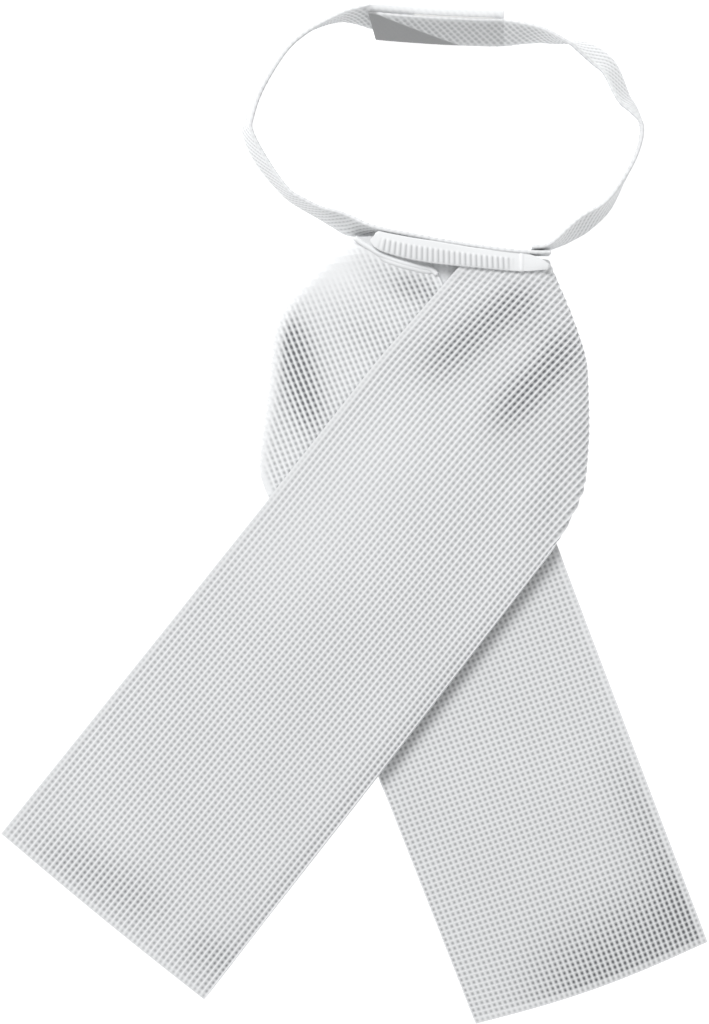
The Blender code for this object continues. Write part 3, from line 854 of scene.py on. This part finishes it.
def inner_end_marks(plan, across):
    """The closure's inner end is painted darker, plain and darker still below a slanted line: painted shade.
    """
    edge = INNER_PLAIN_FROM.x + (INNER_PLAIN_TO.x - INNER_PLAIN_FROM.x) * across / BAND_WIDTH
    on_end = smooth((plan[..., 1] - CLOSURE[0].y + INNER_END_START) / 2.0) * (plan[..., 0] < CLOSURE[0].x)
    plain_part = smooth((edge - plan[..., 0]) / INNER_PLAIN_FADE) * on_end
    # Painted shade: the inner end is darker, and its plain part darker still.
    tone = 1 - INNER_PLAIN_PAINTED_SHADE * plain_part - INNER_END_PAINTED_SHADE * on_end
    return 1 - 0.95 * plain_part, tone


def outer_end_marks(plan, across):
    """The closure's outer layer has its upper edge plain and painted paler: a painted highlight."""
    on_end = (plan[..., 1] > CLOSURE[0].y) * smooth((plan[..., 0] - OUTER_LIGHT_FROM_X) / OUTER_LIGHT_FADE)
    # Painted highlight along the outer end's upper edge.
    pale = on_end * smooth((across - BAND_WIDTH + OUTER_LIGHT_WIDTH) / 1.5)
    return 1 - 0.8 * pale, 1 + OUTER_EDGE_PAINTED_LIGHT * pale


def curled(grid, lean, out, curl):
    """A band's upper edge bent over outwards: past the curl's start the lean goes over to the curl's lean."""
    across = np.linspace(0.0, BAND_WIDTH, grid.shape[1])
    turned = smooth((across - BAND_WIDTH + CURL_WIDTH) / CURL_WIDTH) * curl[:, None]
    angle = lean[:, None] + (np.radians(CURL_LEAN) - lean[:, None]) * turned
    step = across[1]
    beyond = np.cumsum(np.sin(angle) - np.sin(lean)[:, None], axis=1) * step
    drop = np.cumsum(np.cos(angle) - np.cos(lean)[:, None], axis=1) * step
    return grid + np.concatenate([out[:, None] * beyond[..., None], drop[..., None]], axis=2)


def band_piece(name, stations, lift, slant, finish, end_marks):
    """One length of neckband, cut on the cross: its cells run slantwise, and the cloth's middle rises and
    sinks by the squared sines of the weave. The weave is shallower at the folded edges."""
    middle, run, out, lean = band_frames(stations, BAND_FINE_STEP)
    columns = int(BAND_WIDTH / BAND_FINE_STEP) + 1
    height = standing_height(lean, lift * smooth(np.degrees(lean) / CLOSURE_FULL_LEAN))
    grid = band_grid(middle, run, out, lean, height, BAND_WIDTH, columns, slant)
    walked = distances_along(middle)
    across = np.linspace(0.0, BAND_WIDTH, columns)[None] + 0.0 * walked[:, None]
    along = walked[:, None] + 0.0 * across
    turn = np.radians(BAND_BIAS)
    cloth = np.stack(
        [along * np.cos(turn) + across * np.sin(turn), across * np.cos(turn) - along * np.sin(turn)], axis=2
    )
    cloth = cloth / BAND_CELL
    pit = np.prod(np.sin(np.pi * cloth) ** 2, axis=2)
    relief, tone = end_marks(grid[..., :2], across)
    if end_marks is outer_end_marks:
        curl = smooth((np.degrees(lean) - CURL_FROM_LEAN) / CURL_LEAN_SPAN)
        grid = curled(grid, lean, out, curl)
    from_edge = np.minimum(across, BAND_WIDTH - across)
    relief = relief * faded(from_edge / BAND_EDGE_FADE, BAND_EDGE_RELIEF)
    sunk = raised(grid, -BAND_PIT * pit * relief)
    return cloth_piece(name, [plain(sunk, cloth, relief, BAND_GROOVED, tone)], BAND_WALL, finish)


def build_neckband(finish):
    """The neckband's two lengths: the outer end, left arm and front in one, and the right arm with the
    inner end."""
    depth = BAND_WALL + 2 * PAD_WALL + 3 * SEAM_GAP
    outer, _ = closure_layer(depth, CLOSURE_SLIDE)
    long_way, short_way = np.vstack([outer[:-1], LEFT_ARM]), RIGHT_ARM + CLOSURE
    left = band_piece("neckband_left_cloth", long_way, 0.0, 0.0, finish, outer_end_marks)
    right = band_piece(
        "neckband_right_cloth", short_way, CLOSURE_LIFT, CLOSURE_END_SLANT, finish, inner_end_marks
    )
    return dressed(left, "neckband_left"), dressed(right, "neckband_right")


def build_fastener(finish):
    """The two strips of touch fastener between the neckband's ends."""
    inner_height = standing_height(np.radians(CLOSURE[len(CLOSURE) // 2].lean), CLOSURE_LIFT)
    first = BAND_WALL / 2 + SEAM_GAP + PAD_WALL / 2
    for node, depth in (("fastener_loop", first), ("fastener_hook", first + PAD_WALL + SEAM_GAP)):
        table, rise = closure_layer(depth, CLOSURE_SLIDE / 2)
        middle, run, out, lean = band_frames(table[:4], PAD_STEP)
        keep = slice(int(PAD_START / PAD_STEP), int((PAD_START + PAD_LENGTH) / PAD_STEP))
        height = np.full(len(lean), inner_height + rise)
        grid = band_grid(middle, run, out, lean, height, PAD_WIDTH, PAD_COLUMNS)[keep]
        cells = np.meshgrid(np.arange(len(grid)), np.arange(PAD_COLUMNS), indexing="ij")
        cloth = np.stack(cells, axis=2) * 1.0
        dressed(cloth_piece(node + "_strip", [plain(grid, cloth)], PAD_WALL, finish), node)


def build_keeper(finish):
    """The keeper tape, ribbed across its length over its lower part: the surface rises by a squared cosine
    for each rib. The ribs stop at the bar tack, a ridge across the tape, and the drawn-out end is plain."""
    curve = through(KEEPER, TAPE_RIB / RIB_ROWS)
    run = unit(np.gradient(curve[:, :2], axis=0))
    side = np.stack([-run[:, 1], run[:, 0]], axis=1)
    tilt = np.radians(curve[:, 4])
    share = np.linspace(-0.5, 0.5, KEEPER_COLUMNS)
    across = (share + KEEPER_TOWARDS_BAND) * curve[:, 2:3] * KEEPER_SPREAD
    plan = curve[:, None, :2] + side[:, None] * (across * np.cos(tilt)[:, None])[..., None]
    walked = distances_along(curve[:, :2])
    along = walked[:, None] + RIB_SLANT * across
    lower = smooth((0.5 + share) / 0.1) * (1 - smooth((share - RIBS_UP_TO) / 0.14))
    ribbed = lower * (smooth((TACK_X - 2.0 - curve[:, 0]) / 4.0) * smooth((walked - 2.0) / 3.0))[:, None]
    tack = np.exp(-(((plan[..., 0] - TACK_X) / TACK_HALF_WIDTH) ** 2)) * smooth((0.5 - np.abs(share)) / 0.08)
    crown = KEEPER_CROWN * (1 - (2 * share) ** 2)
    rib = KEEPER_RIB_HEIGHT * np.cos(np.pi * along / TAPE_RIB) ** 2 * ribbed
    z = curve[:, 3:4] + across * np.sin(tilt)[:, None] + rib + crown + TACK_HEIGHT * tack
    grid = np.concatenate([plan, z[..., None]], axis=2)
    cloth = np.stack([along / TAPE_RIB, 0.5 + 0.0 * along], axis=2)
    rim = smooth(1.0 - (0.5 - np.abs(share)) / KEEPER_RIM)
    # Painted highlight on the rims and the bar tack.
    tone = 1.0 + KEEPER_RIM_PAINTED_LIGHT * np.maximum(rim, tack)
    tape = plain(grid, cloth, ribbed * (1 - tack), 0.0, tone)
    piece = cloth_piece("keeper_ribbed_tape", [tape], TAPE_WALL, finish)
    return dressed(piece, "keeper_tape")


def shader_math(tree, operation, *values):
    """A Math node whose inputs are sockets or numbers, in order."""
    node = tree.nodes.new("ShaderNodeMath")
    node.operation = operation
    for socket, value in zip(node.inputs, values):
        if isinstance(value, bpy.types.NodeSocket):
            tree.links.new(value, socket)
        else:
            socket.default_value = value
    return node.outputs[0]


def new_group(name, inputs, outputs):
    """An empty shader node group with its sockets, and its input and output nodes."""
    group = bpy.data.node_groups.new(name, "ShaderNodeTree")
    for label, kind, value in inputs:
        socket = group.interface.new_socket(label, in_out="INPUT", socket_type=kind)
        if value is not None:
            socket.default_value = value
    for label, kind in outputs:
        group.interface.new_socket(label, in_out="OUTPUT", socket_type=kind)
    return group, group.nodes.new("NodeGroupInput"), group.nodes.new("NodeGroupOutput")


def waffle_group():
    """The weave by its place in cells. Pit is the squared sine along times the squared sine across, 1 in the
    middle of a cell. Groove is the squared sine across alone. Thread is the ply of the yarn, four turns to a
    cell, both ways."""
    group, given, made = new_group(
        "waffle weave",
        [("Place", "NodeSocketVector", None)],
        [("Pit", "NodeSocketFloat"), ("Groove", "NodeSocketFloat"), ("Thread", "NodeSocketFloat")],
    )
    split = group.nodes.new("ShaderNodeSeparateXYZ")
    group.links.new(given.outputs["Place"], split.inputs[0])
    waves, plies = [], []
    for axis in range(2):
        wave = shader_math(group, "SINE", shader_math(group, "MULTIPLY", split.outputs[axis], np.pi))
        waves.append(shader_math(group, "MULTIPLY", wave, wave))
        turns = shader_math(group, "MULTIPLY", split.outputs[axis], 2 * np.pi * PLY_TURNS)
        plies.append(shader_math(group, "SINE", turns))
    group.links.new(shader_math(group, "MULTIPLY", *waves), made.inputs["Pit"])
    group.links.new(waves[1], made.inputs["Groove"])
    group.links.new(shader_math(group, "ADD", *plies), made.inputs["Thread"])
    return group


def cloth_finish(name, weave, ridge, pit, closed_share, roughness, sheen):
    """Cloth: the ridges' colour goes over to the pits' darker colour by the weave and its relief, which is
    painted shade in the pits and grooves. Up to a relief of 1 the pits and the grooves share the painted
    shade between them, and past it the grooves darken further. The tone, which in places is painted light and
    in places painted shade, and a slow mottle lighten and darken the cloth, and the yarn's ply and fuzz are a
    fine bump."""
    finish = bpy.data.materials.new(name)
    finish.use_nodes = True
    tree = finish.node_tree
    shader = tree.nodes["Principled BSDF"]
    shader.inputs["Roughness"].default_value = roughness
    shader.inputs["Sheen Weight"].default_value = sheen
    shader.inputs["Sheen Roughness"].default_value = 0.5
    shader.inputs["Specular IOR Level"].default_value = 0.3
    place = tree.nodes.new("ShaderNodeUVMap")
    place.uv_map = "cloth"
    pattern = tree.nodes.new("ShaderNodeGroup")
    pattern.node_tree = weave
    tree.links.new(place.outputs["UV"], pattern.inputs["Place"])
    marks = {}
    for label in MARKS:
        marks[label] = tree.nodes.new("ShaderNodeAttribute")
        marks[label].attribute_name = label
    relief = marks["relief"].outputs["Fac"]
    # Past a relief of 1 the painted shade in the pits and grooves deepens further.
    closed = shader_math(tree, "MULTIPLY", shader_math(tree, "MINIMUM", relief, 1.0), closed_share)
    opened = shader_math(tree, "MAXIMUM", shader_math(tree, "SUBTRACT", relief, 1.0), 0.0)
    in_grooves = shader_math(tree, "MULTIPLY", closed, marks["grooved"].outputs["Fac"])
    pits = shader_math(tree, "SUBTRACT", closed, in_grooves)
    pits = shader_math(tree, "MULTIPLY_ADD", opened, PIT_SHADE_PAST_ONE, pits)
    grooves = shader_math(tree, "MULTIPLY_ADD", opened, GROOVE_SHADE_PAST_ONE, in_grooves)
    in_pits = shader_math(tree, "MULTIPLY", pattern.outputs["Pit"], pits)
    depth = shader_math(tree, "MULTIPLY_ADD", pattern.outputs["Groove"], grooves, in_pits)

    where = tree.nodes.new("ShaderNodeTexCoord")
    mottle = tree.nodes.new("ShaderNodeTexNoise")
    mottle.inputs["Scale"].default_value = MOTTLE_SCALE
    mottle.inputs["Detail"].default_value = 3.0
    tree.links.new(where.outputs["Object"], mottle.inputs["Vector"])
    lift = shader_math(tree, "MULTIPLY_ADD", mottle.outputs["Fac"], MOTTLE_SPREAD, 1.0 - MOTTLE_SPREAD / 2)
    lift = shader_math(tree, "MULTIPLY", lift, marks["tone"].outputs["Fac"])
    # Painted shade: the colour goes over to the darker pit colour in the pits and grooves.
    painted_pit_shade = tree.nodes.new("ShaderNodeMix")
    painted_pit_shade.data_type = "RGBA"
    painted_pit_shade.inputs["A"].default_value = (*ridge, 1.0)
    painted_pit_shade.inputs["B"].default_value = (*pit, 1.0)
    tree.links.new(depth, painted_pit_shade.inputs["Factor"])
    shade = tree.nodes.new("ShaderNodeMix")
    shade.data_type = "RGBA"
    shade.blend_type = "MULTIPLY"
    shade.inputs["Factor"].default_value = 1.0
    tree.links.new(painted_pit_shade.outputs["Result"], shade.inputs["A"])
    tree.links.new(lift, shade.inputs["B"])
    tree.links.new(shade.outputs["Result"], shader.inputs["Base Color"])

    fuzz = tree.nodes.new("ShaderNodeTexNoise")
    fuzz.inputs["Scale"].default_value = FUZZ_SCALE
    fuzz.inputs["Detail"].default_value = 2.0
    tree.links.new(where.outputs["Object"], fuzz.inputs["Vector"])
    yarn = shader_math(tree, "MULTIPLY_ADD", pattern.outputs["Thread"], PLY_SHARE, fuzz.outputs["Fac"])
    bump = tree.nodes.new("ShaderNodeBump")
    bump.inputs["Strength"].default_value = 0.5
    bump.inputs["Distance"].default_value = YARN_BUMP
    tree.links.new(yarn, bump.inputs["Height"])
    tree.links.new(bump.outputs["Normal"], shader.inputs["Normal"])
    return finish


def build_stage():
    """The pale floor, the even light all round, the soft lamp at the upper left, and the camera."""
    half = FLOOR_HALF
    mesh = bpy.data.meshes.new("floor")
    corners = [(-half, -half, 0.0), (half, -half, 0.0), (half, half, 0.0), (-half, half, 0.0)]
    mesh.from_pydata([tuple(MM * value for value in corner) for corner in corners], [], [(0, 1, 2, 3)])
    floor = bpy.data.objects.new("floor", mesh)
    bpy.context.collection.objects.link(floor)
    finish = bpy.data.materials.new("floor")
    finish.use_nodes = True
    surface = finish.node_tree.nodes["Principled BSDF"]
    surface.inputs["Base Color"].default_value = FLOOR_GREY
    surface.inputs["Roughness"].default_value = 0.9
    surface.inputs["Emission Color"].default_value = (1.0, 1.0, 1.0, 1.0)
    surface.inputs["Emission Strength"].default_value = FLOOR_GLOW
    mesh.materials.append(finish)

    world = bpy.data.worlds.new("studio")
    world.use_nodes = True
    world.node_tree.nodes["Background"].inputs["Color"].default_value = (1.0, 1.0, 1.0, 1.0)
    world.node_tree.nodes["Background"].inputs["Strength"].default_value = WORLD_STRENGTH
    bpy.context.scene.world = world

    key = bpy.data.lights.new("key", "AREA")
    key.shape = "SQUARE"
    key.size = KEY_SIZE * MM
    key.energy = KEY_POWER
    lamp = bpy.data.objects.new("key", key)
    place = Vector(KEY_PLACE) * MM
    lamp.location = place
    lamp.rotation_mode = "QUATERNION"
    lamp.rotation_quaternion = (-place).to_track_quat("-Z", "Y")
    bpy.context.collection.objects.link(lamp)

    lens = bpy.data.cameras.new("camera")
    lens.sensor_width = CAMERA_SENSOR
    lens.lens = CAMERA_SENSOR * CAMERA_HEIGHT / VIEW_LENGTH
    camera = bpy.data.objects.new("camera", lens)
    camera.location = (0.0, CAMERA_Y * MM, CAMERA_HEIGHT * MM)
    bpy.context.collection.objects.link(camera)
    bpy.context.scene.camera = camera
    bpy.context.scene.view_settings.view_transform = "Standard"
    return floor


floor = build_stage()
weave = waffle_group()
# The pit colours are painted shade, laid in the weave's pits and grooves and between the tape's ribs.
waffle = cloth_finish(
    "waffle_cloth", weave, ridge=(0.79, 0.8, 0.81), pit=(0.16, 0.165, 0.175), closed_share=0.62,
    roughness=0.85, sheen=0.1,
)
band = cloth_finish(
    "band_cloth", weave, ridge=(0.8, 0.81, 0.82), pit=(0.4, 0.41, 0.42), closed_share=0.8, roughness=0.8,
    sheen=0.1,
)
tape = cloth_finish(
    "tape", weave, ridge=(0.82, 0.83, 0.84), pit=(0.4, 0.41, 0.42), closed_share=0.7, roughness=0.75,
    sheen=0.1,
)
strip = cloth_finish(
    "touch_fastener", weave, ridge=(0.7, 0.7, 0.69), pit=(0.6, 0.6, 0.59), closed_share=0.8, roughness=0.9,
    sheen=0.2,
)

front = dressed(build_tail("front_tail", FRONT_TAIL, waffle), "tail_front")
back = dressed(build_tail("back_tail", BACK_TAIL, waffle, [back_lip()]), "tail_back")
band_left, band_right = build_neckband(band)
build_fastener(strip)
keeper = build_keeper(tape)
